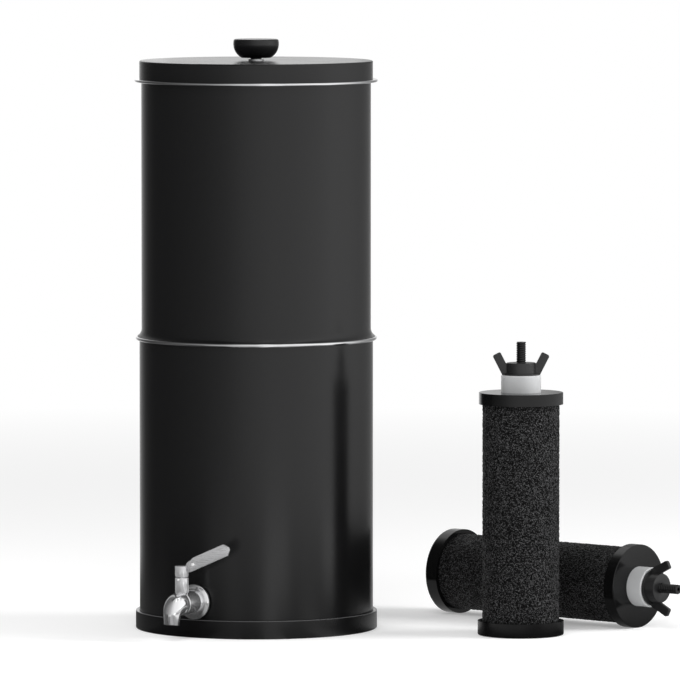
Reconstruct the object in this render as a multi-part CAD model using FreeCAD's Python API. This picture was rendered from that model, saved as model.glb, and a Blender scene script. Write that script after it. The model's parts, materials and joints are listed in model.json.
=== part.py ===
import FreeCAD, Part
import os
from math import atan, cos, degrees, radians, sin, sqrt, tan

V = FreeCAD.Vector

# Gravity water filter: two stacked steel chambers, a tap, and two carbon elements beside them.
# Millimetres. The origin is the centre of the underside of the base, +Z is up and the tap
# points along -Y.

# Chambers and their trims
sheet = 1.0
lower_radius = 101.85
lower_wall_top = 254.1
upper_wall_length = 223.3
nest_gap = 0.85
nest_depth = 21.0
nest_corner = 5.0
floor_height = 11.5
flare_reach = 3.65
flare_curve = 7.8
flare_lip = 0.3
lower_trim_cap = 1.0
upper_trim_cap = 0.8
lower_trim_reach = 3.35
lower_trim_height = 3.0
upper_trim_reach = 6.0
upper_trim_height = 2.4

# Boot under the lower chamber
boot_wall = 3.55
boot_floor = 2.5
boot_lip_width = 9.0
boot_bottom_round = 1.4
boot_top_round = 0.5
boot_gap = 0.1
boot_flange_gap = 0.3

# Lid and its knob
lid_overhang = 1.7
lid_skirt = 16.2
lid_edge = 1.4
plug_depth = 9.0
plug_gap = 0.6
collar_radius = 6.7
collar_height = 1.4
collar_round = 0.4
knob_neck_radius = 4.75
knob_neck_height = 1.0
knob_foot_radius = 12.8
knob_radius = 19.7
knob_height = 16.3
knob_edge = 1.8
knob_belly = 1.9
lid_screw_radius = 2.0
lid_screw_length = 12.0
lid_screw_head_radius = 4.0
lid_screw_head_height = 2.4
lid_washer_radius = 6.5
lid_washer_height = 1.0
screw_clearance = 0.15

# Tap body, flange, washers and nut
tap_height = 31.2
shank_radius = 8.0
shank_clearance = 0.25
shank_inside = 12.5
washer_radius = 13.0
outer_washer = 1.0
inner_washer = 2.4
flange_radius = 15.2
flange_rim = 2.2
flange_thickness = 4.0
flange_chamfer = 2.6
nut_across_flats = 24.0
nut_thickness = 5.0
barrel_radius = 10.6
barrel_end = 22.6
barrel_end_radius = 8.6
bead_width = 1.6
bead_rise = 0.5
elbow_radius = 9.6
elbow_chamfer = 0.6
valve_reach = 22.5
spout_radius = 7.5
spout_tip_radius = 6.3
spout_bore = 4.2
spout_bend_start = 29.8
spout_bend = 8.8
spout_drop = 8.1
cartridge_bore = 5.6

# Valve, bonnet and lever
ball_radius = 5.2
ball_bore = 3.2
ball_clearance = 0.15
seat_thickness = 3.0
seat_hole = 3.3
seat_gap = 0.05
retainer_length = 3.0
boss_rise = 9.8
boss_radius = 5.1
bonnet_radius = 5.9
bonnet_height = 13.2
bonnet_spigot_radius = 4.2
bonnet_spigot_length = 2.8
spigot_clearance = 0.05
valve_stem_radius = 2.4
valve_stem_clearance = 0.1
stem_tang_thickness = 1.6
stem_tang_depth = 1.4
ring_wire = 0.6
ring_squeeze = 0.05
ring_first = 3.5
ring_spacing = 3.0
hub_gap = 0.4
hub_height = 9.4
hub_chamfer = 0.7
hub_bore_depth = 6.5
retainer_screw_radius = 0.9
retainer_screw_drop = 1.8
retainer_screw_head = 0.3
stem_groove_depth = 0.6
stem_groove_width = 2.4
blade_thickness = 2.6
blade_slope = 23.0
blade_width = 10.4
blade_length = 44.3
blade_root = 8.6
blade_start_rise = 4.5
blade_root_round = 6.5
blade_tip_round = 4.0
lug_thickness = 2.2
lug_start = 2.3
lug_start_rise = 2.6
lug_width = 8.7
lug_length = 14.5
rivet_radius = 1.1
rivet_head_radius = 1.5
rivet_head_height = 0.5
rivet_reach = 12.0
rivet_rise = 11.2

# Carbon element, all along its own axis from the underside of the bottom cap
element_length = 210.6
carbon_radius = 33.6
carbon_core_radius = 12.0
carbon_core_floor = 22.0
bottom_cap_wall = 3.65
bottom_cap_height = 12.4
bottom_cap_round = 1.6
top_cap_wall = 2.8
top_cap_height = 10.2
top_cap_round = 0.5
cap_plate = 3.0
cap_fit = 0.1
stem_radius = 4.2
stem_bore = 1.6
stem_length = 43.6
stem_flange_radius = 14.0
stem_flange_height = 2.0
sleeve_radius = 17.3
sleeve_height = 15.0
sleeve_round = 0.9
sleeve_fit = 0.15
nut_flange_radius = 15.6
nut_flange_height = 1.5
nut_boss_radius = 12.6
nut_height = 10.6
nut_bore_clearance = 0.1
wing_span = 49.6
wing_top = 20.0
wing_width = 7.5
wing_thickness = 3.4
wing_lean = 27.0
wing_corner = 1.6
element_hole_radius = 4.75
element_hole_offset = 46.0

# Where the two elements are put down beside the drum
standing_x = 229.3
standing_y = 63.1
standing_wing_turn = 30.5
lying_x = 82.9
lying_y = 198.6
lying_heading = -9.4

UP = V(0, 0, 1)
OUT = V(0, -1, 0)
SIDE = V(1, 0, 0)

# Heights and places that follow from the dimensions above
lower_inside = lower_radius - sheet
seat_height = lower_wall_top + lower_trim_cap
upper_radius = lower_inside - nest_gap
nest_bottom = seat_height - nest_depth
upper_inside = upper_radius - sheet
upper_wall_top = seat_height + upper_wall_length
lid_seat = upper_wall_top + upper_trim_cap
lid_top = lid_seat + lid_skirt
collar_top = lid_top + collar_height
boot_radius = lower_radius + boot_wall
boot_lip_radius = boot_radius - boot_lip_width
lower_trim_radius = lower_radius + lower_trim_reach
upper_trim_radius = upper_radius + upper_trim_reach
lid_radius = upper_radius + lid_overhang
flange_back = lower_radius + outer_washer
flange_front = flange_back + flange_thickness
boot_height = tap_height - flange_radius - boot_flange_gap
valve_y = -(lower_radius + valve_reach)
boss_top = tap_height + boss_rise
bonnet_top = boss_top + bonnet_height
retainer_screw_height = bonnet_top - retainer_screw_drop
hub_bottom = bonnet_top + hub_gap
hub_top = hub_bottom + hub_height
blade_low_start = hub_bottom + blade_start_rise
lug_low_start = hub_bottom + lug_start_rise
rivet_height = hub_bottom + rivet_rise
blade_front = valve_y - blade_thickness / 2
bottom_cap_radius = carbon_radius + cap_fit + bottom_cap_wall
top_cap_radius = carbon_radius + cap_fit + top_cap_wall


class Outline:
    """A closed outline of straight stretches and arcs, in the plane of radius and height."""

    def __init__(self, x, z):
        self.first = V(x, 0, z)
        self.last = self.first
        self.edges = []

    def line(self, x, z):
        point = V(x, 0, z)
        self.edges.append(Part.makeLine(self.last, point))
        self.last = point
        return self

    def arc(self, mid_x, mid_z, x, z):
        point = V(x, 0, z)
        self.edges.append(Part.Arc(self.last, V(mid_x, 0, mid_z), point).toShape())
        self.last = point
        return self

    def corner(self, centre_x, centre_z, x, z):
        """An arc about a centre, the short way round, to the point given."""
        centre = V(centre_x, 0, centre_z)
        chord = (self.last + V(x, 0, z)) * 0.5 - centre
        mid = centre + chord * ((self.last - centre).Length / chord.Length)
        return self.arc(mid.x, mid.z, x, z)

    def face(self):
        if (self.last - self.first).Length > 1e-7:
            self.edges.append(Part.makeLine(self.last, self.first))
        return Part.Face(Part.Wire(self.edges))

    def turned(self):
        """The solid that the outline sweeps when it goes once round the Z axis."""
        return self.face().revolve(V(0, 0, 0), UP, 360)

    def thick(self, depth):
        """The solid that the outline sweeps along Y, half to each side."""
        face = self.face()
        face.translate(V(0, -depth / 2, 0))
        return face.extrude(V(0, depth, 0))


def rod(radius, low, high):
    return Part.makeCylinder(radius, high - low, V(0, 0, low), UP)


def tube(outer, inner, low, high):
    return rod(outer, low, high).cut(rod(inner, low, high))


def placed(shape, position, rotation=None):
    result = shape.copy()
    result.Placement = FreeCAD.Placement(position, rotation or FreeCAD.Rotation()).multiply(result.Placement)
    return result


def on_tap_axis(shape):
    """Moves a shape whose Z is its distance out from the drum's axis onto the tap's axis."""
    return placed(shape, V(0, 0, tap_height), FreeCAD.Rotation(SIDE, 90))


def on_valve_axis(shape):
    return placed(shape, V(0, valve_y, 0))


def write(name, shape):
    solids = shape.Solids
    if not solids or not shape.isValid():
        raise ValueError(name + " is not a sound solid")
    result = solids[0] if len(solids) == 1 else Part.makeCompound(solids)
    result.exportStep("parts/" + name + ".step")
    print(name, len(solids), round(sum(s.Volume for s in solids) / 1000, 3), "cm3")


def base_boot():
    outline = Outline(boot_lip_radius, 0)
    outline.line(boot_radius - boot_bottom_round, 0)
    outline.corner(boot_radius - boot_bottom_round, boot_bottom_round, boot_radius, boot_bottom_round)
    outline.line(boot_radius, boot_height - boot_top_round)
    outline.corner(boot_radius - boot_top_round, boot_height - boot_top_round,
                   boot_radius - boot_top_round, boot_height)
    outline.line(lower_radius + boot_gap, boot_height)
    outline.line(lower_radius + boot_gap, boot_floor)
    outline.line(boot_lip_radius, boot_floor)
    return outline.turned()


def lower_chamber():
    tap_hole = on_tap_axis(rod(shank_radius + shank_clearance, lower_inside / 2, lower_radius * 2))
    return tube(lower_radius, lower_inside, boot_floor, lower_wall_top).cut(tap_hole)


def lower_chamber_floor():
    return rod(lower_inside, floor_height, floor_height + sheet)


def rim_trim(wall_outer, wall_inner, wall_top, cap, reach, height):
    """A ring that caps the rim of a chamber and stands out from it with a half-round edge."""
    top = wall_top + cap
    round_radius = height / 2
    outline = Outline(wall_inner, wall_top)
    outline.line(wall_inner, top)
    outline.line(reach - round_radius, top)
    outline.arc(reach, top - round_radius, reach - round_radius, top - height)
    outline.line(wall_outer, top - height)
    outline.line(wall_outer, wall_top)
    return outline.turned()


def upper_chamber():
    curve_x = upper_radius + flare_curve
    flare_edge = upper_radius + flare_reach
    lip_top = seat_height + flare_lip
    flare_top = lip_top + sqrt(flare_curve ** 2 - (flare_curve - flare_reach) ** 2)
    inner_curve = flare_curve + sheet
    inner_low = seat_height + sheet
    inner_foot = curve_x - sqrt(inner_curve ** 2 - (flare_top - inner_low) ** 2)
    floor_top = nest_bottom + sheet
    outline = Outline(0, nest_bottom)
    outline.line(upper_radius - nest_corner, nest_bottom)
    outline.corner(upper_radius - nest_corner, nest_bottom + nest_corner,
                   upper_radius, nest_bottom + nest_corner)
    outline.line(upper_radius, seat_height)
    outline.line(flare_edge, seat_height)
    outline.line(flare_edge, lip_top)
    outline.corner(curve_x, flare_top, upper_radius, flare_top)
    outline.line(upper_radius, upper_wall_top)
    outline.line(upper_inside, upper_wall_top)
    outline.line(upper_inside, flare_top)
    outline.corner(curve_x, flare_top, inner_foot, inner_low)
    outline.line(upper_inside, inner_low)
    outline.line(upper_inside, nest_bottom + nest_corner)
    outline.corner(upper_radius - nest_corner, nest_bottom + nest_corner,
                   upper_radius - nest_corner, floor_top)
    outline.line(0, floor_top)
    shell = outline.turned()
    for side in (-1, 1):
        hole = rod(element_hole_radius, nest_bottom - sheet, floor_top + sheet)
        shell = shell.cut(placed(hole, V(side * element_hole_offset, 0, 0)))
    return shell


def lid():
    plug_radius = upper_inside - plug_gap
    outline = Outline(0, lid_top)
    outline.line(lid_radius - lid_edge, lid_top)
    outline.corner(lid_radius - lid_edge, lid_top - lid_edge, lid_radius, lid_top - lid_edge)
    outline.line(lid_radius, lid_seat)
    outline.line(plug_radius, lid_seat)
    outline.line(plug_radius, lid_seat - plug_depth)
    outline.line(plug_radius - sheet, lid_seat - plug_depth)
    outline.line(plug_radius - sheet, lid_seat + sheet)
    outline.line(lid_radius - sheet, lid_seat + sheet)
    outline.line(lid_radius - sheet, lid_top - lid_edge)
    outline.corner(lid_radius - lid_edge, lid_top - lid_edge, lid_radius - lid_edge, lid_top - sheet)
    outline.line(0, lid_top - sheet)
    screw_hole = rod(lid_screw_radius + screw_clearance, lid_top - 2 * sheet, lid_top + sheet)
    return outline.turned().cut(screw_hole)


def knob_collar():
    outline = Outline(lid_screw_radius + screw_clearance, lid_top)
    outline.line(collar_radius, lid_top)
    outline.line(collar_radius, collar_top - collar_round)
    outline.corner(collar_radius - collar_round, collar_top - collar_round,
                   collar_radius - collar_round, collar_top)
    outline.line(lid_screw_radius + screw_clearance, collar_top)
    return outline.turned()


def lid_knob():
    foot = collar_top + knob_neck_height
    top = foot + knob_height
    shoulder = top - knob_edge
    belly_x = (knob_foot_radius + knob_radius) / 2 + knob_belly
    belly_z = (foot + shoulder) / 2 - knob_belly
    outline = Outline(0, collar_top)
    outline.line(knob_neck_radius, collar_top)
    outline.line(knob_neck_radius, foot)
    outline.line(knob_foot_radius, foot)
    outline.arc(belly_x, belly_z, knob_radius, shoulder)
    outline.corner(knob_radius - knob_edge, shoulder, knob_radius - knob_edge, top)
    outline.line(0, top)
    screw_end = lid_top - sheet - lid_washer_height + lid_screw_length
    screw_bore = rod(lid_screw_radius + screw_clearance, collar_top, screw_end + screw_clearance)
    return outline.turned().cut(screw_bore)


def knob_washer():
    low = lid_top - sheet - lid_washer_height
    return tube(lid_washer_radius, lid_screw_radius + screw_clearance, low, lid_top - sheet)


def knob_screw():
    seat = lid_top - sheet - lid_washer_height
    head = rod(lid_screw_head_radius, seat - lid_screw_head_height, seat)
    head = head.makeFillet(lid_screw_head_height / 3, [head.Edges[2]])
    shank = rod(lid_screw_radius, seat - lid_screw_head_height / 2, seat + lid_screw_length)
    slot = Part.makeBox(lid_screw_head_radius * 2, lid_screw_radius / 2, lid_screw_head_height / 2,
                        V(-lid_screw_head_radius, -lid_screw_radius / 4, seat - lid_screw_head_height))
    return head.fuse(shank).cut(slot)


def tap_outer_washer():
    blank = tube(washer_radius, shank_radius + shank_clearance, lower_inside - sheet, flange_back)
    return on_tap_axis(blank).cut(rod(lower_radius, 0, lower_wall_top))


def inner_washer_back():
    """How far from the drum's axis the flat side of the inner washer lies."""
    return sqrt(lower_inside ** 2 - washer_radius ** 2) - inner_washer / 2


def tap_inner_washer():
    blank = tube(washer_radius, shank_radius + shank_clearance, inner_washer_back(), lower_radius)
    return on_tap_axis(blank).common(rod(lower_inside, 0, lower_wall_top))


def tap_lock_nut():
    front = inner_washer_back()
    across = nut_across_flats / 2
    corners = [V(across / cos(radians(30)) * cos(radians(60 * i)),
                 across / cos(radians(30)) * sin(radians(60 * i)), front - nut_thickness) for i in range(7)]
    prism = Part.Face(Part.makePolygon(corners)).extrude(V(0, 0, nut_thickness))
    taper = (across / cos(radians(30)) - across) * tan(radians(30))
    cone = Part.makeCone(across + nut_thickness / tan(radians(30)), across, nut_thickness,
                         V(0, 0, front - nut_thickness), V(0, 0, 1))
    cone = cone.fuse(rod(across / cos(radians(30)), front - nut_thickness + taper, front))
    bore = rod(shank_radius, front - nut_thickness, front)
    chamfered = prism.common(placed(cone, V(0, 0, 2 * front - nut_thickness), FreeCAD.Rotation(SIDE, 180)))
    return on_tap_axis(chamfered.cut(bore))


def tap_flange():
    hole = shank_radius + shank_clearance
    outline = Outline(hole, flange_back)
    outline.line(flange_radius, flange_back)
    outline.line(flange_radius, flange_back + flange_rim)
    outline.line(flange_radius - flange_chamfer, flange_front)
    outline.line(hole, flange_front)
    return on_tap_axis(outline.turned())


def ball_centre():
    return V(0, valve_y, tap_height)


def bend_sweep(radius):
    """A quarter bend of round section, from level to straight down, along the spout."""
    start = V(0, -(lower_radius + spout_bend_start), tap_height)
    centre = start - V(0, 0, spout_bend)
    disc = Part.Face(Part.Wire(Part.makeCircle(radius, start, OUT)))
    return disc.revolve(centre, SIDE, 90)


def tap_body():
    bend_reach = lower_radius + spout_bend_start
    tip_y = -(bend_reach + spout_bend)
    bend_low = tap_height - spout_bend
    barrel_front = lower_radius + barrel_end
    elbow_back = barrel_front + bead_width
    outline = Outline(0, lower_radius - shank_inside)
    outline.line(shank_radius, lower_radius - shank_inside)
    outline.line(shank_radius, flange_front)
    outline.line(barrel_radius, flange_front)
    outline.line(barrel_end_radius, barrel_front)
    outline.arc(barrel_end_radius + bead_rise, barrel_front + bead_width / 2, barrel_end_radius, elbow_back)
    outline.line(elbow_radius - elbow_chamfer, elbow_back)
    outline.line(elbow_radius, elbow_back + elbow_chamfer)
    outline.line(spout_radius, bend_reach)
    outline.line(0, bend_reach)
    body = on_tap_axis(outline.turned())
    body = body.fuse(bend_sweep(spout_radius))
    tip = Part.makeCone(spout_radius, spout_tip_radius, spout_drop, V(0, tip_y, bend_low), V(0, 0, -1))
    body = body.fuse(tip)
    boss = Part.makeCylinder(boss_radius, boss_top - tap_height, V(0, valve_y, tap_height), UP)
    body = body.fuse(boss)
    cartridge_end = lower_radius + valve_reach + ball_radius + ball_clearance + seat_thickness / 2
    body = body.cut(on_tap_axis(rod(cartridge_bore, lower_radius - shank_inside, cartridge_end)))
    body = body.cut(on_tap_axis(rod(spout_bore, lower_radius, bend_reach)))
    body = body.cut(bend_sweep(spout_bore))
    body = body.cut(Part.makeCylinder(spout_bore, spout_drop, V(0, tip_y, bend_low), V(0, 0, -1)))
    body = body.cut(on_valve_axis(rod(valve_stem_radius + valve_stem_clearance, tap_height, boss_top)))
    return body.cut(on_valve_axis(rod(bonnet_spigot_radius + spigot_clearance,
                                      boss_top - bonnet_spigot_length, boss_top))).removeSplitter()


def valve_seats():
    """Two rings that close on the ball from the inlet and the outlet side."""
    seats = []
    hollow = Part.makeSphere(ball_radius + ball_clearance, ball_centre())
    middle = lower_radius + valve_reach
    face = ball_radius + ball_clearance + seat_thickness / 2
    for low in (middle - face, middle + face - seat_thickness):
        ring = tube(cartridge_bore - seat_gap, seat_hole, low, low + seat_thickness)
        seats.append(on_tap_axis(ring).cut(hollow))
    return Part.makeCompound(seats)


def seat_retainer():
    back_seat = lower_radius + valve_reach - ball_radius - ball_clearance - seat_thickness / 2
    ring = tube(cartridge_bore - seat_gap, seat_hole, back_seat - retainer_length, back_seat)
    slot = Part.makeBox(cartridge_bore * 2, seat_hole / 2, retainer_length / 3,
                        V(-cartridge_bore, -seat_hole / 4, back_seat - retainer_length))
    return on_tap_axis(ring.cut(slot))


def tang(depth, thickness):
    """The flat that turns the ball, along X, down from the top of the ball."""
    reach = valve_stem_radius * 0.9
    top = tap_height + ball_radius
    return Part.makeBox(reach * 2, thickness, depth + 1, V(-reach, valve_y - thickness / 2, top - depth))


def valve_ball():
    ball = Part.makeSphere(ball_radius, ball_centre())
    port = Part.makeCylinder(ball_bore, ball_radius * 2, ball_centre() - V(ball_radius, 0, 0), SIDE)
    return ball.cut(port).cut(tang(stem_tang_depth, stem_tang_thickness + valve_stem_clearance))


def stem_ring_heights():
    return [boss_top + ring_first + ring_spacing * i for i in (0, 1)]


def valve_stem():
    low = tap_height + ball_radius + valve_stem_clearance
    stem = on_valve_axis(rod(valve_stem_radius, low, hub_bottom + hub_bore_depth))
    foot = tang(stem_tang_depth - valve_stem_clearance, stem_tang_thickness)
    stem = stem.fuse(foot.common(on_valve_axis(rod(valve_stem_radius, 0, low + valve_stem_clearance))))
    for height in stem_ring_heights():
        groove = tube(valve_stem_radius * 2, valve_stem_radius + ring_squeeze - ring_wire * 2,
                      height - ring_wire, height + ring_wire)
        stem = stem.cut(on_valve_axis(groove))
    half = stem_groove_width / 2
    stop = tube(valve_stem_radius * 2, valve_stem_radius - stem_groove_depth,
                retainer_screw_height - half, retainer_screw_height + half)
    return stem.cut(on_valve_axis(stop))


def stem_o_rings():
    centre = valve_stem_radius + ring_squeeze - ring_wire
    rings = [on_valve_axis(Part.makeTorus(centre, ring_wire, V(0, 0, height))) for height in stem_ring_heights()]
    return Part.makeCompound(rings)


def retainer_screw_solid(radius, tip, head):
    return Part.makeCylinder(radius, head - tip, V(0, valve_y - tip, retainer_screw_height), OUT)


def tap_bonnet():
    hole = valve_stem_radius + valve_stem_clearance
    outline = Outline(hole, boss_top - bonnet_spigot_length)
    outline.line(bonnet_spigot_radius, boss_top - bonnet_spigot_length)
    outline.line(bonnet_spigot_radius, boss_top)
    outline.line(bonnet_radius, boss_top)
    outline.line(bonnet_radius, bonnet_top - hub_chamfer)
    outline.line(bonnet_radius - hub_chamfer, bonnet_top)
    outline.line(hole, bonnet_top)
    return on_valve_axis(outline.turned()).cut(retainer_screw_solid(retainer_screw_radius, 0, bonnet_radius * 2))


def bonnet_screw():
    tip = valve_stem_radius + valve_stem_clearance - stem_groove_depth / 2
    return retainer_screw_solid(retainer_screw_radius, tip, bonnet_radius + retainer_screw_head)


def blade_outline(length, width, root, low_start):
    """The blade in its own plane: sloped, rounded at the tip and at the upper root corner."""
    lean = radians(blade_slope)
    along = V(cos(lean), 0, sin(lean))
    across = V(-sin(lean), 0, cos(lean))
    start = V(root, 0, low_start)
    tip_low = start + along * (length - blade_tip_round)
    tip_high = tip_low + across * width
    top_root = start + across * width + along * (blade_root_round * 1.35)
    side = V(root, 0, top_root.z - blade_root_round)
    outline = Outline(start.x, start.z)
    outline.line(tip_low.x, tip_low.z)
    slant_low = start + along * length + across * blade_tip_round
    slant_high = start + along * length + across * (width - blade_tip_round)
    outline.line(slant_low.x, slant_low.z)
    outline.line(slant_high.x, slant_high.z)
    outline.line(tip_high.x, tip_high.z)
    outline.line(top_root.x, top_root.z)
    bow = (top_root + side) * 0.5 + V(-1, 0, 1) * (blade_root_round * 0.12)
    outline.arc(bow.x, bow.z, side.x, side.z)
    return outline


def rivet_line(radius, front, back):
    return Part.makeCylinder(radius, back - front, V(rivet_reach, front, rivet_height), V(0, 1, 0))


def lever_handle():
    blade = blade_outline(blade_length, blade_width, blade_root, blade_low_start).thick(blade_thickness)
    blade = on_valve_axis(blade)
    return blade.cut(rivet_line(rivet_radius, blade_front, blade_front + blade_thickness))


def handle_hub():
    outline = Outline(0, hub_bottom)
    outline.line(bonnet_radius - hub_chamfer, hub_bottom)
    outline.line(bonnet_radius, hub_bottom + hub_chamfer)
    outline.line(bonnet_radius, hub_top)
    outline.line(0, hub_top)
    hub = outline.turned()
    lug = blade_outline(lug_length, lug_width, lug_start, lug_low_start).thick(lug_thickness)
    lug = placed(lug, V(0, (blade_thickness + lug_thickness) / 2, 0))
    hub = on_valve_axis(hub.fuse(lug).cut(rod(valve_stem_radius, hub_bottom, hub_bottom + hub_bore_depth)))
    return hub.cut(rivet_line(rivet_radius, blade_front, blade_front + blade_thickness + lug_thickness))


def handle_rivet():
    back = blade_front + blade_thickness + lug_thickness
    rivet = rivet_line(rivet_radius, blade_front, back)
    rivet = rivet.fuse(rivet_line(rivet_head_radius, blade_front - rivet_head_height, blade_front))
    return rivet.fuse(rivet_line(rivet_head_radius, back, back + rivet_head_height))


def bottom_cap():
    outline = Outline(0, 0)
    outline.line(bottom_cap_radius - bottom_cap_round, 0)
    outline.corner(bottom_cap_radius - bottom_cap_round, bottom_cap_round, bottom_cap_radius, bottom_cap_round)
    outline.line(bottom_cap_radius, bottom_cap_height)
    outline.line(carbon_radius + cap_fit, bottom_cap_height)
    outline.line(carbon_radius + cap_fit, cap_plate)
    outline.line(0, cap_plate)
    return outline.turned()


def carbon_block():
    top = element_length - cap_plate - stem_flange_height
    block = rod(carbon_radius, cap_plate, top)
    return block.cut(rod(carbon_core_radius, carbon_core_floor, top))


def top_cap():
    outline = Outline(stem_radius + cap_fit, element_length)
    outline.line(top_cap_radius - top_cap_round, element_length)
    outline.corner(top_cap_radius - top_cap_round, element_length - top_cap_round,
                   top_cap_radius, element_length - top_cap_round)
    outline.line(top_cap_radius, element_length - top_cap_height)
    outline.line(carbon_radius + cap_fit, element_length - top_cap_height)
    outline.line(carbon_radius + cap_fit, element_length - cap_plate)
    outline.line(stem_radius + cap_fit, element_length - cap_plate)
    return outline.turned()


def element_stem():
    low = element_length - cap_plate - stem_flange_height
    flange = rod(stem_flange_radius, low, low + stem_flange_height)
    shank = rod(stem_radius, low, element_length + stem_length)
    return flange.fuse(shank).cut(rod(stem_bore, low, element_length + stem_length))


def seal_sleeve():
    inner = stem_radius + sleeve_fit
    top = element_length + sleeve_height
    outline = Outline(inner, element_length)
    outline.line(sleeve_radius, element_length)
    outline.line(sleeve_radius, top - sleeve_round)
    outline.corner(sleeve_radius - sleeve_round, top - sleeve_round, sleeve_radius - sleeve_round, top)
    outline.line(inner, top)
    return outline.turned()


def wing(side):
    """One flat wing of the nut: it leans out from the boss and ends in rounded corners."""
    lean = radians(wing_lean)
    along = V(sin(lean), 0, cos(lean))
    across = V(cos(lean), 0, -sin(lean))
    outer_tip = V(wing_span / 2, 0, wing_top - wing_width * sin(lean))
    inner_tip = outer_tip - across * wing_width
    run = outer_tip.z / cos(lean)
    outer_foot = outer_tip - along * run
    inner_foot = V(outer_foot.x - wing_width * 1.2, 0, 0)
    outline = Outline(inner_foot.x, inner_foot.z)
    outline.line(outer_foot.x, outer_foot.z)
    before = outer_tip - along * wing_corner
    outline.line(before.x, before.z)
    after = outer_tip - across * wing_corner
    outline.corner((before - across * wing_corner).x, (before - across * wing_corner).z, after.x, after.z)
    near = inner_tip + across * wing_corner
    outline.line(near.x, near.z)
    down = inner_tip - along * wing_corner
    outline.corner((near - along * wing_corner).x, (near - along * wing_corner).z, down.x, down.z)
    wall = V(nut_boss_radius - wing_thickness, 0, nut_height * 0.6)
    outline.line(inner_tip.x - tan(lean) * (inner_tip.z - nut_height), nut_height)
    outline.line(wall.x, wall.z)
    blade = outline.thick(wing_thickness)
    return blade if side > 0 else placed(blade, V(0, 0, 0), FreeCAD.Rotation(UP, 180))


def wing_nut():
    nut = rod(nut_flange_radius, 0, nut_flange_height).fuse(rod(nut_boss_radius, 0, nut_height))
    nut = nut.fuse(wing(1)).fuse(wing(-1)).removeSplitter()
    nut = nut.cut(rod(stem_radius + nut_bore_clearance, -nut_height, wing_top))
    return placed(nut, V(0, 0, element_length + sleeve_height))


def standing_place(shape):
    spin = FreeCAD.Rotation(UP, standing_wing_turn)
    return placed(shape, V(standing_x, standing_y, 0), spin)


def lying_place(shape):
    """Lays an element down on the rims of its two caps, the wings one above the other."""
    low_rim = bottom_cap_height
    high_rim = element_length - top_cap_round
    dip = atan((bottom_cap_radius - top_cap_radius) / (high_rim - low_rim))
    rise = bottom_cap_radius * cos(dip) + low_rim * sin(dip)
    tip_over = FreeCAD.Rotation(V(0, 1, 0), 90)
    tip_down = FreeCAD.Rotation(V(0, 1, 0), degrees(dip))
    heading = FreeCAD.Rotation(UP, lying_heading)
    return placed(shape, V(lying_x, lying_y, rise), heading.multiply(tip_down).multiply(tip_over))


def main():
    os.makedirs("parts", exist_ok=True)
    write("base_boot", base_boot())
    write("lower_chamber", lower_chamber())
    write("lower_chamber_floor", lower_chamber_floor())
    write("lower_rim_trim", rim_trim(lower_radius, lower_inside, lower_wall_top, lower_trim_cap,
                                     lower_trim_radius, lower_trim_height))
    write("upper_chamber", upper_chamber())
    write("upper_rim_trim", rim_trim(upper_radius, upper_inside, upper_wall_top, upper_trim_cap,
                                     upper_trim_radius, upper_trim_height))
    write("lid", lid())
    write("knob_collar", knob_collar())
    write("lid_knob", lid_knob())
    write("knob_washer", knob_washer())
    write("knob_screw", knob_screw())
    write("tap_outer_washer", tap_outer_washer())
    write("tap_inner_washer", tap_inner_washer())
    write("tap_lock_nut", tap_lock_nut())
    write("tap_flange", tap_flange())
    write("tap_body", tap_body())
    write("valve_seats", valve_seats())
    write("seat_retainer", seat_retainer())
    write("valve_ball", valve_ball())
    write("valve_stem", valve_stem())
    write("stem_o_rings", stem_o_rings())
    write("tap_bonnet", tap_bonnet())
    write("bonnet_screw", bonnet_screw())
    write("handle_hub", handle_hub())
    write("lever_handle", lever_handle())
    write("handle_rivet", handle_rivet())
    pieces = {
        "bottom_cap": bottom_cap(),
        "carbon_block": carbon_block(),
        "top_cap": top_cap(),
        "stem": element_stem(),
        "seal_sleeve": seal_sleeve(),
        "wing_nut": wing_nut(),
    }
    for place_name, place in (("standing", standing_place), ("lying", lying_place)):
        for piece_name, piece in pieces.items():
            write(place_name + "_" + piece_name, place(piece))


main()
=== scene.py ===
import json
import math

import bmesh
import bpy
from mathutils import Matrix, Vector, noise


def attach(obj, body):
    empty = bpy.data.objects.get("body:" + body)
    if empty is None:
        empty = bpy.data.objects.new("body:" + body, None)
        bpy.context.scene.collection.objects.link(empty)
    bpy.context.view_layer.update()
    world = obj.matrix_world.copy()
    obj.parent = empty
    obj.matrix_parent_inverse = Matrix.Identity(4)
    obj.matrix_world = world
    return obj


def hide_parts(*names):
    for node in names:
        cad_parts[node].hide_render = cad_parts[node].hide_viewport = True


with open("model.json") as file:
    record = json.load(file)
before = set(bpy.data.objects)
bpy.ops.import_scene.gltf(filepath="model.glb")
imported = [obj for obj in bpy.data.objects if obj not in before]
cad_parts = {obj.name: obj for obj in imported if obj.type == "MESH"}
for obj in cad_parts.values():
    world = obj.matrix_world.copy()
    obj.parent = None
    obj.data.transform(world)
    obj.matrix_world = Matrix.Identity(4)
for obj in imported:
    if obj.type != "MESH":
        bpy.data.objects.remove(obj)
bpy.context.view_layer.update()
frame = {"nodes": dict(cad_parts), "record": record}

MM = 0.001
NODES = frame["nodes"]

# Measures shared with the CAD, in millimetres. The tap's are up from the floor and out from the
# drum's axis.
TAP_AXIS = 31.2
DRUM_WALL = 101.85
BONNET_OUT = 124.35
BONNET_BOSS_RADIUS = 5.1

# An element's are from the outer face of its bottom cap
BLOCK_LOW, BLOCK_HIGH, BLOCK_RADIUS = 3.0, 205.6, 33.2
BOTTOM_CAP_RADIUS, BOTTOM_CAP_TOP = 36.5, 12.4
TOP_CAP_RADIUS, TOP_CAP_TOP = 37.35, 210.1
STEM_FOOT, STEM_FLANGE_TOP, STEM_FLANGE_RADIUS = 205.7, 207.6, 14.0
THREAD_LOW, THREAD_HIGH = 211.0, 254.2

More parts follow.
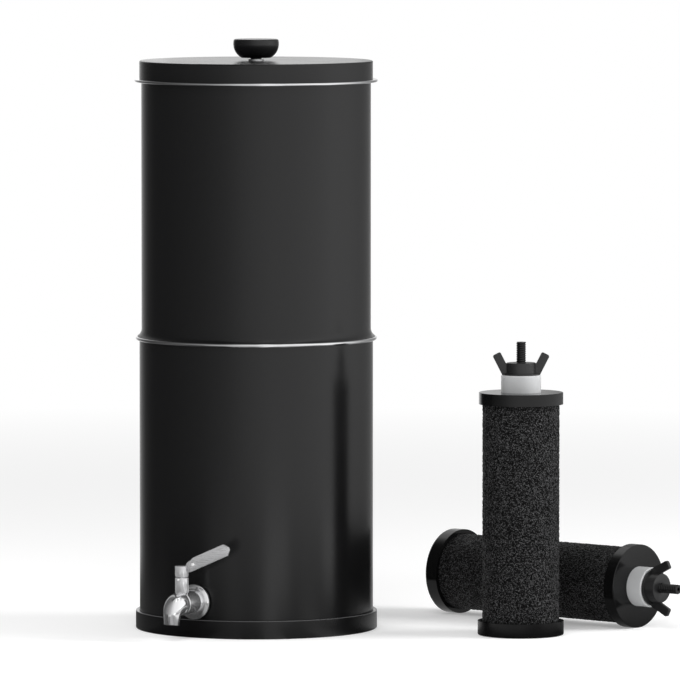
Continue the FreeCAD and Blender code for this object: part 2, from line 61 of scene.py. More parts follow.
# The photograph's view: a long lens, well back and a little above the lid
VIEW_AZIMUTH = math.radians(30.5)
VIEW_TILT = math.radians(3.95)
VIEW_DISTANCE = 7.190
VIEW_HEIGHT = 0.748
VIEW_ASIDE = 0.073
LENS = 437.5
SENSOR = 36.0

RIGHT = Vector((math.cos(VIEW_AZIMUTH), math.sin(VIEW_AZIMUTH), 0))
AWAY = Vector((-math.sin(VIEW_AZIMUTH), math.cos(VIEW_AZIMUTH), 0))


# Small helpers for node materials
def new_material(name):
    material = bpy.data.materials.new(name)
    material.use_nodes = True
    tree = material.node_tree
    shader = tree.nodes["Principled BSDF"]
    return material, tree, shader


def add(tree, kind, **inputs):
    """Adds a node and sets its input sockets by name, with spaces written as underscores."""
    node = tree.nodes.new(kind)
    for name, value in inputs.items():
        node.inputs[name.replace("_", " ")].default_value = value
    return node


def link(tree, source, target):
    tree.links.new(source, target)


def new_group(name, inputs, outputs):
    """A shader node group with float inputs and the outputs named, each with its kind of socket."""
    group = bpy.data.node_groups.new(name, "ShaderNodeTree")
    for label, default in inputs.items():
        socket = group.interface.new_socket(label, in_out="INPUT", socket_type="NodeSocketFloat")
        socket.default_value = default
    for label, kind in outputs.items():
        group.interface.new_socket(label, in_out="OUTPUT", socket_type=kind)
    start = group.nodes.new("NodeGroupInput")
    end = group.nodes.new("NodeGroupOutput")
    return group, start, end


def use_group(tree, group, **values):
    node = tree.nodes.new("ShaderNodeGroup")
    node.node_tree = group
    for name, value in values.items():
        node.inputs[name.replace("_", " ")].default_value = value
    return node


def map_range(tree, source, low, high, from_low=0.0, from_high=1.0):
    node = add(tree, "ShaderNodeMapRange", From_Min=from_low, From_Max=from_high,
               To_Min=low, To_Max=high)
    link(tree, source, node.inputs["Value"])
    return node.outputs["Result"]


def noise_range(tree, source, low, high):
    """Spreads a noise texture, most of whose values lie between 0.3 and 0.7, over a range."""
    return map_range(tree, source, low, high, 0.3, 0.7)


def operate(tree, kind, operation, *operands):
    """Adds a maths node; each operand is a socket or a value."""
    node = tree.nodes.new(kind)
    node.operation = operation
    for socket, operand in zip(node.inputs, operands):
        if isinstance(operand, bpy.types.NodeSocket):
            link(tree, operand, socket)
        else:
            socket.default_value = operand
    return node


def maths(tree, operation, *operands):
    return operate(tree, "ShaderNodeMath", operation, *operands).outputs["Value"]


def vector_maths(tree, operation, *operands):
    """Gives the vector, or the value where the operation has one as its result."""
    result = "Value" if operation in ("DOT_PRODUCT", "LENGTH") else "Vector"
    return operate(tree, "ShaderNodeVectorMath", operation, *operands).outputs[result]


def mix_colour(tree, factor, first, second):
    mix = tree.nodes.new("ShaderNodeMix")
    mix.data_type = "RGBA"
    mix.inputs[6].default_value = first + (1,)
    mix.inputs[7].default_value = second + (1,)
    link(tree, factor, mix.inputs["Factor"])
    return mix.outputs[2]


def make_grain_group():
    """Fine pebbled surface: a height for bump and a slow patchy value for gloss."""
    group, start, end = new_group(
        "fine_grain",
        {"Grain Scale": 900.0, "Patch Scale": 14.0},
        {"Height": "NodeSocketFloat", "Patches": "NodeSocketFloat"},
    )
    place = group.nodes.new("ShaderNodeTexCoord")
    grain = add(group, "ShaderNodeTexNoise", Detail=3.0, Roughness=0.55)
    patch = add(group, "ShaderNodeTexNoise", Detail=4.0, Roughness=0.6)
    for texture, label in ((grain, "Grain Scale"), (patch, "Patch Scale")):
        link(group, place.outputs["Object"], texture.inputs["Vector"])
        link(group, start.outputs[label], texture.inputs["Scale"])
    link(group, grain.outputs["Fac"], end.inputs["Height"])
    link(group, patch.outputs["Fac"], end.inputs["Patches"])
    return group


def make_brush_group():
    """Long fine strokes across the Z axis, as a brushed or turned metal part has."""
    group, start, end = new_group(
        "brush_strokes",
        {"Across": 2600.0, "Along": 30.0},
        {"Height": "NodeSocketFloat", "Streaks": "NodeSocketFloat"},
    )
    place = group.nodes.new("ShaderNodeTexCoord")
    stretch = group.nodes.new("ShaderNodeCombineXYZ")
    for axis in ("X", "Y"):
        link(group, start.outputs["Along"], stretch.inputs[axis])
    link(group, start.outputs["Across"], stretch.inputs["Z"])
    scaled = vector_maths(group, "MULTIPLY", place.outputs["Object"], stretch.outputs["Vector"])
    strokes = add(group, "ShaderNodeTexNoise", Scale=1.0, Detail=4.0, Roughness=0.6)
    link(group, scaled, strokes.inputs["Vector"])
    link(group, strokes.outputs["Fac"], end.inputs["Height"])
    link(group, strokes.outputs["Fac"], end.inputs["Streaks"])
    return group


GRAIN = make_grain_group()
BRUSH = make_brush_group()


def add_bump(tree, shader, height, strength, distance):
    bump = add(tree, "ShaderNodeBump", Strength=strength, Distance=distance)
    link(tree, height, bump.inputs["Height"])
    link(tree, bump.outputs["Normal"], shader.inputs["Normal"])


def grain_bump(tree, shader, grain_scale, strength, patch_scale=14.0):
    """Adds fine grain to a material's normal."""
    grain = use_group(tree, GRAIN, Grain_Scale=grain_scale, Patch_Scale=patch_scale)
    add_bump(tree, shader, grain.outputs["Height"], strength, 0.0002)
    return grain


def grained(tree, shader, grain_scale, strength, roughness, patch_scale=14.0):
    """Adds fine grain to a material's normal and slow patches to its roughness."""
    grain = grain_bump(tree, shader, grain_scale, strength, patch_scale)
    patches = noise_range(tree, grain.outputs["Patches"], *roughness)
    link(tree, patches, shader.inputs["Roughness"])


def brushed(tree, shader, across, along, strength, roughness):
    """Adds brush strokes to a material's normal and to its roughness."""
    strokes = use_group(tree, BRUSH, Across=across, Along=along)
    add_bump(tree, shader, strokes.outputs["Height"], strength, 0.00005)
    streaks = noise_range(tree, strokes.outputs["Streaks"], *roughness)
    link(tree, streaks, shader.inputs["Roughness"])


def make_bare_inside_group():
    """One where a coated sheet is bare: where it faces the drum's axis or down, or is the floor."""
    group, start, end = new_group(
        "bare_inside", {"Floor Radius": 0.0}, {"Bare": "NodeSocketFloat"}
    )
    place = group.nodes.new("ShaderNodeTexCoord")
    up = group.nodes.new("ShaderNodeSeparateXYZ")
    link(group, place.outputs["Normal"], up.inputs["Vector"])
    flat = vector_maths(group, "MULTIPLY", place.outputs["Object"], (1, 1, 0))
    outward = vector_maths(group, "NORMALIZE", flat)
    facing = vector_maths(group, "DOT_PRODUCT", outward, place.outputs["Normal"])
    radius = vector_maths(group, "LENGTH", flat)
    inward = maths(group, "LESS_THAN", facing, -0.1)
    under = maths(group, "LESS_THAN", up.outputs["Z"], -0.5)
    floor = maths(group, "LESS_THAN", radius, start.outputs["Floor Radius"])
    side = maths(group, "MAXIMUM", inward, under)
    link(group, maths(group, "MAXIMUM", side, floor), end.inputs["Bare"])
    return group


BARE_INSIDE = make_bare_inside_group()


# The finishes, one function each
def coated_sheet(name, floor_radius):
    """Black coat outside, brushed bare steel inside."""
    material, tree, shader = new_material(name)
    shader.inputs["IOR"].default_value = 1.45
    bare = use_group(tree, BARE_INSIDE, Floor_Radius=floor_radius).outputs["Bare"]
    colour = mix_colour(tree, bare, (0.005, 0.005, 0.0052), (0.5, 0.5, 0.51))
    link(tree, colour, shader.inputs["Base Color"])
    # The bare side is scratched, so part of its light is scattered as by a paint
    link(tree, map_range(tree, bare, 0.0, 0.6), shader.inputs["Metallic"])
    grain = grain_bump(tree, shader, 1100.0, 0.16)
    strokes = use_group(tree, BRUSH, Across=3200.0, Along=16.0)
    gloss = tree.nodes.new("ShaderNodeMix")
    link(tree, bare, gloss.inputs["Factor"])
    link(tree, noise_range(tree, grain.outputs["Patches"], 0.2, 0.24), gloss.inputs[2])
    link(tree, noise_range(tree, strokes.outputs["Streaks"], 0.26, 0.4), gloss.inputs[3])
    link(tree, gloss.outputs[0], shader.inputs["Roughness"])
    return material


def powder_coat():
    return coated_sheet("powder_coat", 0.0)


def coated_chamber():
    """The same coat on a chamber, whose floor is bare out to just inside its wall."""
    return coated_sheet("coated_chamber", 0.0985)


def metal(name, colour, gloss, grain_scale=500.0, strength=0.05, patch_scale=60.0, metallic=1.0):
    material, tree, shader = new_material(name)
    shader.inputs["Base Color"].default_value = colour + (1,)
    shader.inputs["Metallic"].default_value = metallic
    grained(tree, shader, grain_scale, strength, gloss, patch_scale)
    return material


def brushed_metal(name, colour, gloss, across, along, strength, metallic=1.0):
    """Metallic is under one where fine scratches scatter part of the light all round."""
    material, tree, shader = new_material(name)
    shader.inputs["Base Color"].default_value = colour + (1,)
    shader.inputs["Metallic"].default_value = metallic
    brushed(tree, shader, across, along, strength, gloss)
    return material


def moulded(name, colour, index, gloss, grain_scale, strength, patch_scale=14.0):
    """A moulded plastic or rubber: one colour, a fine grain, and gloss that varies slowly."""
    material, tree, shader = new_material(name)
    shader.inputs["Base Color"].default_value = colour + (1,)
    shader.inputs["IOR"].default_value = index
    grained(tree, shader, grain_scale, strength, gloss, patch_scale)
    return material


def bare_steel():
    return brushed_metal("bare_steel", (0.56, 0.56, 0.57), (0.26, 0.38), 3200.0, 16.0, 0.25)


def polished_steel():
    return metal("polished_steel", (0.8, 0.8, 0.81), (0.08, 0.14), 300.0, 0.04, 30.0)


def tap_steel():
    return metal("tap_steel", (0.88, 0.88, 0.89), (0.06, 0.11), metallic=0.93)


def turned_steel():
    return brushed_metal("turned_steel", (0.68, 0.68, 0.69), (0.08, 0.13), 1800.0, 60.0, 0.03,
                         metallic=0.62)


def lever_steel():
    return brushed_metal("lever_steel", (0.68, 0.68, 0.69), (0.24, 0.34), 2400.0, 90.0, 0.05,
                         metallic=0.6)


def fastener_steel():
    return metal("fastener_steel", (0.84, 0.84, 0.85), (0.14, 0.24), 900.0, 0.08, 80.0)


def pin_steel_painted_highlight():
    """The small pins are near white and partly diffuse, a painted highlight, so they stand out from
    the parts that they hold.
    """
    return metal("pin_steel_painted_highlight", (0.95, 0.95, 0.95), (0.12, 0.2), 900.0, 0.04, 80.0, metallic=0.35)


def nut_plastic():
    return moulded("nut_plastic", (0.012, 0.012, 0.0123), 1.5, (0.3, 0.38), 1200.0, 0.08, 24.0)


def boot_rubber():
    """Black, and paler on faces that look up: a painted highlight along the moulded top edge."""
    material, tree, shader = new_material("boot_rubber")
    shader.inputs["IOR"].default_value = 1.4
    grained(tree, shader, 1400.0, 0.12, (0.22, 0.28))
    place = tree.nodes.new("ShaderNodeTexCoord")
    up = tree.nodes.new("ShaderNodeSeparateXYZ")
    link(tree, place.outputs["Normal"], up.inputs["Vector"])
    # Paler where the normal points up: a painted highlight on the boot's top edge
    painted_top_highlight = map_range(tree, up.outputs["Z"], 0.0, 1.0, 0.15, 0.6)
    colour = mix_colour(tree, painted_top_highlight, (0.004, 0.004, 0.0042), (0.1, 0.1, 0.102))
    link(tree, colour, shader.inputs["Base Color"])
    return material


def washer_silicone():
    return moulded("washer_silicone", (0.05, 0.05, 0.05), 1.45, (0.5, 0.6), 1500.0, 0.2)


def seat_plastic():
    return moulded("seat_plastic", (0.78, 0.78, 0.76), 1.4, (0.35, 0.45), 1500.0, 0.1)


def knob_plastic():
    return moulded("knob_plastic", (0.006, 0.006, 0.0063), 1.5, (0.2, 0.27), 1300.0, 0.08)


def cap_plastic():
    return moulded("cap_plastic", (0.0035, 0.0035, 0.0036), 1.4, (0.12, 0.17), 1200.0, 0.05, 24.0)


def carbon():
    """Pressed grains: a few pale flecks over near black, each grain with its own gloss."""
    material, tree, shader = new_material("carbon")
    shader.inputs["IOR"].default_value = 1.2
    place = tree.nodes.new("ShaderNodeTexCoord")
    grains = add(tree, "ShaderNodeTexVoronoi", Scale=1500.0, Randomness=1.0)
    link(tree, place.outputs["Object"], grains.inputs["Vector"])
    split = tree.nodes.new("ShaderNodeSeparateColor")
    link(tree, grains.outputs["Color"], split.inputs["Color"])
    ramp = tree.nodes.new("ShaderNodeValToRGB")
    ramp.color_ramp.elements[0].color = (0.0015, 0.0015, 0.0015, 1)
    ramp.color_ramp.elements[0].position = 0.6
    ramp.color_ramp.elements[1].color = (0.085, 0.085, 0.087, 1)
    ramp.color_ramp.elements[1].position = 1.0
    link(tree, split.outputs["Red"], ramp.inputs["Fac"])
    link(tree, ramp.outputs["Color"], shader.inputs["Base Color"])
    link(tree, map_range(tree, split.outputs["Green"], 0.35, 0.8), shader.inputs["Roughness"])
    fine = add(tree, "ShaderNodeTexNoise", Scale=1500.0, Detail=3.0, Roughness=0.7)
    link(tree, place.outputs["Object"], fine.inputs["Vector"])
    add_bump(tree, shader, fine.outputs["Fac"], 0.6, 0.0004)
    return material


def sleeve_silicone():
    material, tree, shader = new_material("sleeve_silicone")
    shader.inputs["Base Color"].default_value = (0.5, 0.505, 0.51, 1)
    shader.inputs["Subsurface Weight"].default_value = 0.3
    shader.inputs["Subsurface Radius"].default_value = (0.004, 0.004, 0.004)
    shader.inputs["Subsurface Scale"].default_value = 1.0
    grained(tree, shader, 700.0, 0.08, (0.3, 0.4))
    return material


FINISHES = {
    make.__name__: make()
    for make in (powder_coat, coated_chamber, bare_steel, polished_steel, tap_steel, turned_steel,
                 lever_steel, fastener_steel, pin_steel_painted_highlight, nut_plastic, boot_rubber, washer_silicone,
                 seat_plastic, knob_plastic, cap_plastic, carbon, sleeve_silicone)
}


def dress_cad_nodes():
    """Gives every CAD node the finish of its slot in the record."""
    for part in frame["record"]["subparts"]:
        node = NODES[part["node"]]
        node.data.materials.clear()
        node.data.materials.append(FINISHES[part["material_slot"]])
    for name in ("lower_chamber", "upper_chamber"):
        NODES[name].data.materials[0] = FINISHES["coated_chamber"]


# Pieces that stand for CAD nodes with more detail
def standing_place():
    turn = Matrix.Rotation(VIEW_AZIMUTH, 4, "Z")
    return Matrix.Translation((0.2293, 0.0631, 0)) @ turn


def lying_place():
    """The element lies on the rims of its two caps, its axis heading back past the drum."""
    dip = math.atan((TOP_CAP_RADIUS - BOTTOM_CAP_RADIUS) / (TOP_CAP_TOP - BOTTOM_CAP_TOP))
    rise = (TOP_CAP_RADIUS * math.cos(dip) + BOTTOM_CAP_TOP * math.sin(dip)) * MM
    turn = Matrix.Rotation(math.radians(-9.4), 4, "Z") @ Matrix.Rotation(dip, 4, "Y")
    tip_over = Matrix.Rotation(math.radians(90), 4, "Y")
    return Matrix.Translation((0.0829, 0.1986, rise)) @ turn @ tip_over


PLACES = {"standing": standing_place(), "lying": lying_place()}


def is_sharp(edge, angle):
    """Whether the two faces at an edge meet at more than an angle in degrees."""
    return len(edge.link_faces) == 2 and edge.calc_face_angle() > math.radians(angle)


def finish_piece(name, builder, node, sharp=35.0, finish=None):
    """Makes the object from a builder's mesh and lets it stand for the CAD node."""
    record = next(part for part in frame["record"]["subparts"] if part["node"] == node)
    for face in builder.faces:
        face.smooth = sharp is not None
    if sharp is not None:
        for edge in builder.edges:
            edge.smooth = len(edge.link_faces) == 2 and not is_sharp(edge, sharp)
    mesh = bpy.data.meshes.new(name)
    builder.to_mesh(mesh)
    builder.free()
    piece = bpy.data.objects.new(name, mesh)
    bpy.context.scene.collection.objects.link(piece)
    mesh.materials.append(FINISHES[finish or record["material_slot"]])
    bodies = frame["record"]["behaviour"]["bodies"]
    body = next(label for label, members in bodies.items() if node in members)
    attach(piece, body)
    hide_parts(node)
    return piece


def carbon_grains(kind):
    """The pressed block with its grains standing out of the surface by up to half a millimetre."""
    builder = bmesh.new()
    low, high = BLOCK_LOW * MM, BLOCK_HIGH * MM
    bmesh.ops.create_cone(builder, cap_ends=True, segments=180, radius1=BLOCK_RADIUS * MM,
                          radius2=BLOCK_RADIUS * MM, depth=high - low)
    upright = [edge for edge in builder.edges
               if abs(edge.verts[0].co.z - edge.verts[1].co.z) > 0.1]
    bmesh.ops.subdivide_edges(builder, edges=upright, cuts=164, use_grid_fill=True)
    bmesh.ops.translate(builder, vec=(0, 0, (low + high) / 2), verts=builder.verts)
    for vert in builder.verts:
        push = 0.45 * MM * noise.cell(vert.co * 1300.0) - 0.12 * MM
        vert.co += Vector((vert.co.x, vert.co.y, 0)).normalized() * push
        if low < vert.co.z < high:
            vert.co.z += 0.25 * MM * (noise.cell(vert.co * 1700.0) - 0.5)
    sides = [face for face in builder.faces if len(face.verts) == 4]
    bmesh.ops.triangulate(builder, faces=sides)
    bmesh.ops.transform(builder, matrix=PLACES[kind], verts=builder.verts)
    return finish_piece(kind + "_carbon_grains", builder, kind + "_carbon_block", sharp=None)


def add_rod(builder, radius, bottom, top):
    """Adds an upright rod round the Z axis, closed at its ends, in millimetres."""
    rod = bmesh.ops.create_cone(builder, cap_ends=True, segments=48, radius1=radius * MM,
                                radius2=radius * MM, depth=(top - bottom) * MM)
    bmesh.ops.translate(builder, vec=(0, 0, (top + bottom) / 2 * MM), verts=rod["verts"])
    return rod["verts"]


def sink_bore(builder, faces, wall, depth):
    """Sinks an open end into a bore that leaves a wall all round."""
    bmesh.ops.inset_region(builder, faces=faces, thickness=wall * MM, use_even_offset=False)
    pressed = bmesh.ops.extrude_face_region(builder, geom=faces)
    floor = [item for item in pressed["geom"] if isinstance(item, bmesh.types.BMVert)]
    bmesh.ops.delete(builder, geom=faces, context="FACES_ONLY")
    bmesh.ops.translate(builder, vec=(0, 0, -depth * MM), verts=floor)


def threaded_stem(kind):
    """The stem with its flange under the cap and a coarse thread from there to its open end."""
    pitch, steps = 1.9 * MM, 28
    low, high = THREAD_LOW * MM, THREAD_HIGH * MM
    root, crest = 3.72 * MM, 4.2 * MM
    turns = int((high - low) / pitch) + 3
    builder = bmesh.new()
    # One pitch of the thread's outline, spun upward and then cut level at both ends
    profile = [(root, 0.0), (crest, 0.32), (crest, 0.52), (root, 0.84), (root, 1.0)]
    verts = [builder.verts.new((radius, 0, low - pitch + share * pitch))
             for radius, share in profile]
    edges = [builder.edges.new(pair) for pair in zip(verts, verts[1:])]
    bmesh.ops.spin(builder, geom=verts + edges, cent=(0, 0, 0), axis=(0, 0, 1),
                   dvec=(0, 0, pitch / steps), angle=math.tau * turns, steps=steps * turns,
                   use_merge=False)
    bmesh.ops.remove_doubles(builder, verts=builder.verts, dist=0.02 * MM)
    for height, upward in ((low, -1), (high, 1)):
        everything = builder.verts[:] + builder.edges[:] + builder.faces[:]
        cut = bmesh.ops.bisect_plane(builder, geom=everything, plane_co=(0, 0, height),
                                     plane_no=(0, 0, upward), clear_outer=True)
        rim = [item for item in cut["geom_cut"] if isinstance(item, bmesh.types.BMEdge)]
        made = bmesh.ops.edgeloop_fill(builder, edges=rim)
        if upward > 0:
            sink_bore(builder, made["faces"], wall=2.3, depth=18)
    bmesh.ops.recalc_face_normals(builder, faces=builder.faces)
    # The plain foot inside the cap, and the flange that holds it there
    add_rod(builder, 4.1, STEM_FOOT, THREAD_LOW + 1.0)
    add_rod(builder, STEM_FLANGE_RADIUS, STEM_FOOT, STEM_FLANGE_TOP)
    bmesh.ops.transform(builder, matrix=PLACES[kind], verts=builder.verts)
    return finish_piece(kind + "_threaded_stem", builder, kind + "_stem")


def eased(node, width, name, finish=None):
    """A copy of a CAD piece with every hard edge eased to a small round."""
    builder = bmesh.new()
    builder.from_mesh(NODES[node].data)
    bmesh.ops.remove_doubles(builder, verts=builder.verts, dist=0.004 * MM)
    bmesh.ops.dissolve_limit(builder, angle_limit=math.radians(0.6), verts=builder.verts,
                             edges=builder.edges)
    hard = [edge for edge in builder.edges if is_sharp(edge, 30.0)]
    bmesh.ops.bevel(builder, geom=hard, offset=width * MM, offset_type="OFFSET", segments=2,
                    profile=0.5, affect="EDGES", material=-1, clamp_overlap=True)
    bmesh.ops.triangulate(builder, faces=builder.faces)
    return finish_piece(name, builder, node, finish=finish)


def section(reach, height, radius, lean):
    """Places a unit circle across the tap's path: reach from the drum's axis, height, and lean
    in degrees, which is 0 where the path heads outward and 90 where it heads down."""
    turn = Matrix.Rotation(math.radians(90 + lean), 4, "X")
    place = Matrix.Translation((0, -reach * MM, height * MM))
    return place @ turn @ Matrix.Scale(radius * MM, 4)


def barrel_path():
    """From the shank's inner end, along the barrel as it narrows, and over its bead."""
    shank_inside, shank_radius = 12.5, 8.0
    barrel_start, barrel_length, steps = 4.9, 17.3, 6
    path = [(DRUM_WALL - shank_inside, TAP_AXIS, shank_radius, 0),
            (DRUM_WALL + barrel_start, TAP_AXIS, shank_radius, 0),
            (DRUM_WALL + barrel_start, TAP_AXIS, 10.7, 0)]
    for k in range(1, steps + 1):
        radius = 10.7 - 2.3 * (k / steps) ** 1.4
        along = DRUM_WALL + barrel_start + barrel_length * k / steps
        path.append((along, TAP_AXIS, radius, 0))
    # How far each ring of the bead is from the wall, and its radius
    bead = [(22.6, 8.95), (23.0, 9.6), (23.5, 9.8), (23.9, 9.5), (24.1, 8.7), (24.3, 8.5),
            (24.5, 9.3), (24.9, 9.9), (25.6, 10.2)]
    return path + [(DRUM_WALL + along, TAP_AXIS, radius, 0) for along, radius in bead]


def elbow_path():
    """Round the bend, down to the tip, round its lip and up the bore."""
    bend_start, bend, last_lean, steps = 28.2, 10.6, 81.0, 14
    path = []
    for k in range(0, steps + 1):
        lean = last_lean * k / steps
        turn = math.radians(lean)
        radius = 10.2 - 2.7 * (k / steps) ** 1.1
        reach = DRUM_WALL + bend_start + bend * math.sin(turn)
        height = TAP_AXIS - bend * (1 - math.cos(turn))
        path.append((reach, height, radius, lean))
    onward, down = math.cos(turn), math.sin(turn)
    length = 8.2
    tip = [(along, 7.5 - 1.2 * along / length) for along in (1.6, 3.3, 4.9, 6.6, 8.0)]
    tip += [(8.15, 6.1), (length, 5.9), (length, 4.5), (7.9, 4.2), (-1.5, 4.2)]
    return path + [(reach + along * onward, height - along * down, radius, last_lean)
                   for along, radius in tip]


def tap_spout():
    """The barrel, its bead, the boss for the bonnet, and the spout that swells at the valve,
    bends down and narrows to its open tip."""
    path = barrel_path() + elbow_path()
    builder = bmesh.new()
    ring = bmesh.ops.create_circle(builder, cap_ends=False, segments=72, radius=1.0)["verts"]
    place = section(*path[0])
    bmesh.ops.transform(builder, matrix=place, verts=ring)
    bmesh.ops.contextual_create(builder, geom=ring)
    edges = builder.edges[:]
    for stop in path[1:]:
        made = bmesh.ops.extrude_edge_only(builder, edges=edges)["geom"]
        ring = [item for item in made if isinstance(item, bmesh.types.BMVert)]
        edges = [item for item in made if isinstance(item, bmesh.types.BMEdge)
                 and all(vert in ring for vert in item.verts)]
        following = section(*stop)
        bmesh.ops.transform(builder, matrix=following @ place.inverted(), verts=ring)
        place = following
    bmesh.ops.edgeloop_fill(builder, edges=edges)
    bmesh.ops.recalc_face_normals(builder, faces=builder.faces)
    boss = add_rod(builder, BONNET_BOSS_RADIUS, 36.1, 41.1)
    bmesh.ops.translate(builder, vec=(0, -BONNET_OUT * MM, 0), verts=boss)
    return finish_piece("tap_spout", builder, "tap_body", sharp=40.0)


def domed_pin(node, aside, face, height, radius, rise, depth):
    """A pin with a domed head that faces out from the drum. Face is how far out from the drum's
    axis the dome's edge stands, rise is the dome's, and depth is the pin's own length."""
    profile = [(face - depth, 0.0), (face - depth, radius), (face, radius)]
    profile += [(face + rise * math.sin(turn), radius * math.cos(turn))
                for turn in (math.radians(15 * k) for k in range(1, 6))]
    profile.append((face + rise, 0.0))
    builder = bmesh.new()
    centre = Vector((aside, 0, height)) * MM
    verts = [builder.verts.new(centre + Vector((away, -reach, 0)) * MM)
             for reach, away in profile]
    edges = [builder.edges.new(pair) for pair in zip(verts, verts[1:])]
    bmesh.ops.spin(builder, geom=verts + edges, cent=centre, axis=(0, 1, 0), angle=math.tau,
                   steps=32, use_merge=True)
    bmesh.ops.remove_doubles(builder, verts=builder.verts, dist=0.001 * MM)
    bmesh.ops.recalc_face_normals(builder, faces=builder.faces)
    # The pins take the near-white finish that paints their highlight
    return finish_piece(node + "_domed", builder, node, sharp=50.0, finish="pin_steel_painted_highlight")


def make_pieces():
    tap_spout()
    eased("lever_handle", 0.45, "lever_handle_eased")
    eased("handle_hub", 0.25, "handle_hub_eased", finish="turned_steel")
    eased("tap_bonnet", 0.25, "tap_bonnet_eased", finish="turned_steel")
    eased("tap_flange", 0.35, "tap_flange_eased")
    eased("base_boot", 0.6, "base_boot_eased")
    domed_pin("handle_rivet", 12.0, 126.15, 65.8, radius=1.5, rise=0.8, depth=5.6)
    domed_pin("bonnet_screw", 0.0, 130.4, 52.4, radius=1.1, rise=0.7, depth=3.8)
    for kind in PLACES:
        eased(kind + "_wing_nut", 0.45, kind + "_wing_nut_eased", finish="nut_plastic")
    for kind in PLACES:
        carbon_grains(kind)
        threaded_stem(kind)


# Camera, lights, floor
def make_camera():
    camera_data = bpy.data.cameras.new("photo_camera")
    camera = bpy.data.objects.new("photo_camera", camera_data)
    bpy.context.scene.collection.objects.link(camera)
    camera_data.lens = LENS
    camera_data.sensor_width = SENSOR
    camera_data.clip_start = 0.1
    camera_data.clip_end = 200.0
    camera.location = RIGHT * VIEW_ASIDE - AWAY * VIEW_DISTANCE + Vector((0, 0, VIEW_HEIGHT))
    forward = AWAY * math.cos(VIEW_TILT) - Vector((0, 0, math.sin(VIEW_TILT)))
    camera.rotation_euler = forward.to_track_quat("-Z", "Y").to_euler()
    bpy.context.scene.camera = camera


def soft_light(name, aside, away, height, width, tall, power):
    """An area light placed by the photograph's own right, away and up, turned to face the set."""
    data = bpy.data.lights.new(name, "AREA")
    data.shape = "RECTANGLE"
    data.size = width
    data.size_y = tall
    data.energy = power
    light = bpy.data.objects.new(name, data)
    light.location = RIGHT * aside + AWAY * away + Vector((0, 0, height))
    aim = Vector((0, 0, 0.25)) - light.location
    light.rotation_euler = aim.to_track_quat("-Z", "Y").to_euler()
    light.visible_glossy = False
    bpy.context.scene.collection.objects.link(light)


def make_world():
    """White for the camera and for reflections, and a plain soft level for everything else."""
    world = bpy.data.worlds.new("studio")
    bpy.context.scene.world = world
    world.use_nodes = True
    tree = world.node_tree
    tree.nodes.clear()
    path = tree.nodes.new("ShaderNodeLightPath")
    through = maths(tree, "MAXIMUM", path.outputs["Is Camera Ray"],
                    path.outputs["Is Transmission Ray"])
    shown = maths(tree, "MAXIMUM", through, path.outputs["Is Glossy Ray"])
    fill = add(tree, "ShaderNodeBackground", Color=(1, 1, 1, 1), Strength=0.44)
    white = add(tree, "ShaderNodeBackground", Color=(1, 1, 1, 1), Strength=1.0)
    mix = tree.nodes.new("ShaderNodeMixShader")
    link(tree, shown, mix.inputs["Fac"])
    link(tree, fill.outputs["Background"], mix.inputs[1])
    link(tree, white.outputs["Background"], mix.inputs[2])
    out = tree.nodes.new("ShaderNodeOutputWorld")
    link(tree, mix.outputs["Shader"], out.inputs["Surface"])


# How bright the surround is in reflections, by degrees from the camera's side, to the right when
# positive. It is fitted to the photo: the angles are about those that the drum mirrors where its
# tones were measured. The levels were worked out from those tones, and both tables were then
# changed from one render to the next.
SURROUND = [(-172, 1.2), (-165, 1.0), (-158, 0.72), (-150, 0.38), (-134, 0.1), (-115, 0.045),
            (-91, 0.075), (-71, 0.14), (-48, 0.25), (-27, 0.42), (-7, 0.72), (13, 0.9), (33, 0.95),
            (55, 1.05), (77, 1.12), (98, 0.8), (115, 0.46), (128, 0.3), (143, 0.26), (154, 0.32),
            (160, 0.7), (172, 0.8)]
# Added near the floor and overhead, where the tap's curves look and the drum hardly does
STREAKS = [(-95, 0), (-85, -0.12), (-50, -0.2), (-42, 0.2), (-20, 0.2), (-12, -0.25), (6, -0.25),
           (11, 0.6), (27, 0.6), (32, -0.35), (62, -0.45), (67, 0.4), (86, 0.4), (96, -0.3),
           (106, -0.4), (130, -0.26), (140, 0)]
WALL_OUT = 0.66
WALL_TALL = 1.1
FOOT_HEIGHT = 0.0005


def table_level(table, angle):
    """The table's value at an angle, and its first or last value beyond its ends."""
    angle = max(table[0][0], min(table[-1][0], angle))
    for (low, below), (high, above) in zip(table, table[1:]):
        if angle <= high:
            return below + (above - below) * (angle - low) / (high - low)
    return table[-1][1]


def card_level(place):
    """How bright the card is at a point of its foot, wall or roof."""
    angle = math.degrees(math.atan2(place.dot(RIGHT), -place.dot(AWAY)))
    reach = place.xy.length
    share = 1.0
    if place.z < 0.01 and reach < WALL_OUT - 0.01:
        # Near the drum the foot mirrors the same direction as the wall does, at twice the angle
        nearness = max(0.0, min(1.0, (WALL_OUT - reach) / (WALL_OUT - 0.12)))
        angle = max(-140, angle * (1 + nearness))
        under_elements = 0.2 < reach < 0.4 and 50 < angle < 170
        share = 0.3 if under_elements else 0.55
    level = table_level(SURROUND, angle)
    if place.z < 0.04 or place.z > WALL_TALL + 0.1:
        level += table_level(STREAKS, angle)
    return share * max(0.02, level)


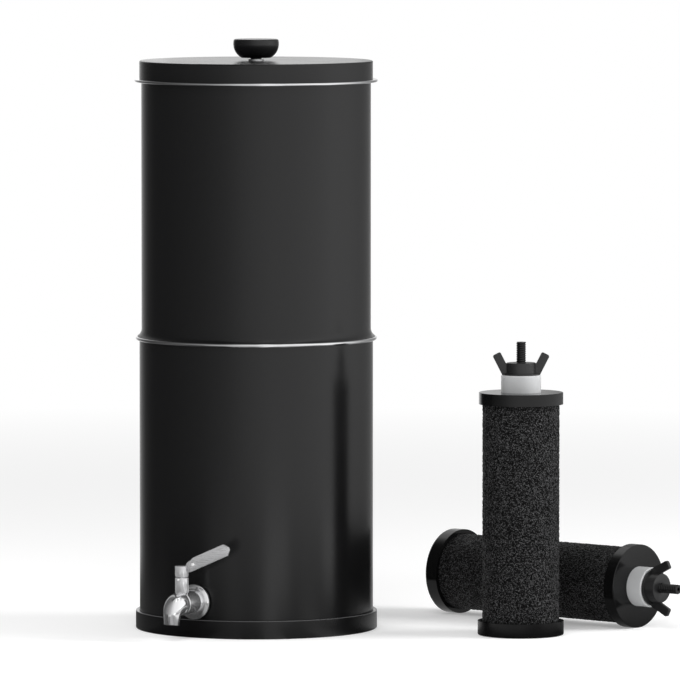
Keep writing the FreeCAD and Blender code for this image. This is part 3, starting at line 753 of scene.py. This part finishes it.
def make_surround(step=2):
    """A curved studio card close round the set, with a foot and a roof, seen only in
    reflections and open behind the set."""
    builder = bmesh.new()
    start, stop = SURROUND[0][0], SURROUND[-1][0]
    first = -AWAY * math.cos(math.radians(start)) + RIGHT * math.sin(math.radians(start))
    profile = [(reach, FOOT_HEIGHT) for reach in (0.02, 0.1, 0.15, 0.3, WALL_OUT)]
    profile += [(WALL_OUT, height) for height in (0.02, 0.05, WALL_TALL)]
    profile += [(0.5, WALL_TALL + 0.15), (0.25, WALL_TALL + 0.25), (0.02, WALL_TALL + 0.28)]
    verts = [builder.verts.new(first * reach + Vector((0, 0, height)))
             for reach, height in profile]
    edges = [builder.edges.new(pair) for pair in zip(verts, verts[1:])]
    bmesh.ops.spin(builder, geom=verts + edges, cent=(0, 0, 0), axis=(0, 0, 1),
                   angle=math.radians(stop - start), steps=(stop - start) // step,
                   use_merge=False)
    shade = builder.verts.layers.float.new("level")
    for vert in builder.verts:
        vert[shade] = card_level(vert.co)
    mesh = bpy.data.meshes.new("surround")
    builder.to_mesh(mesh)
    builder.free()
    card = bpy.data.objects.new("surround", mesh)
    bpy.context.scene.collection.objects.link(card)
    card.visible_camera = False
    card.visible_diffuse = False
    card.visible_shadow = False
    card.visible_transmission = False
    material = bpy.data.materials.new("surround")
    material.use_nodes = True
    tree = material.node_tree
    tree.nodes.clear()
    level = tree.nodes.new("ShaderNodeAttribute")
    level.attribute_name = "level"
    glow = add(tree, "ShaderNodeEmission", Color=(1, 1, 1, 1))
    link(tree, level.outputs["Fac"], glow.inputs["Strength"])
    out = tree.nodes.new("ShaderNodeOutputMaterial")
    link(tree, glow.outputs["Emission"], out.inputs["Surface"])
    mesh.materials.append(material)


def make_floor():
    """A pale floor that stays white far off and keeps the soft shadows near the object."""
    builder = bmesh.new()
    bmesh.ops.create_grid(builder, x_segments=1, y_segments=1, size=60.0)
    mesh = bpy.data.meshes.new("studio_floor")
    builder.to_mesh(mesh)
    builder.free()
    floor = bpy.data.objects.new("studio_floor", mesh)
    bpy.context.scene.collection.objects.link(floor)
    material, tree, shader = new_material("floor_white")
    tree.nodes.remove(shader)
    out = tree.nodes["Material Output"]
    place = tree.nodes.new("ShaderNodeTexCoord")
    far = vector_maths(tree, "LENGTH", place.outputs["Object"])
    mask = map_range(tree, far, 0.0, 1.0, 0.8, 2.5)
    paint = add(tree, "ShaderNodeBsdfDiffuse", Color=(0.8, 0.8, 0.8, 1))
    lift = add(tree, "ShaderNodeEmission", Color=(1, 1, 1, 1), Strength=0.285)
    both = tree.nodes.new("ShaderNodeAddShader")
    link(tree, paint.outputs["BSDF"], both.inputs[0])
    link(tree, lift.outputs["Emission"], both.inputs[1])
    white = add(tree, "ShaderNodeEmission", Color=(1, 1, 1, 1), Strength=1.0)
    mix = tree.nodes.new("ShaderNodeMixShader")
    link(tree, mask, mix.inputs["Fac"])
    link(tree, both.outputs["Shader"], mix.inputs[1])
    link(tree, white.outputs["Emission"], mix.inputs[2])
    link(tree, mix.outputs["Shader"], out.inputs["Surface"])
    mesh.materials.append(material)


def main():
    dress_cad_nodes()
    make_pieces()
    make_camera()
    make_world()
    make_floor()
    make_surround()
    soft_light("front_key", -0.3, -1.3, 1.7, width=1.2, tall=1.0, power=16)
    soft_light("right_key", 1.9, -0.2, 0.85, width=0.9, tall=0.9, power=33)
    soft_light("left_fill", -1.8, -0.2, 0.9, width=0.9, tall=0.9, power=12)
    bpy.context.scene.view_settings.view_transform = "Standard"


main()
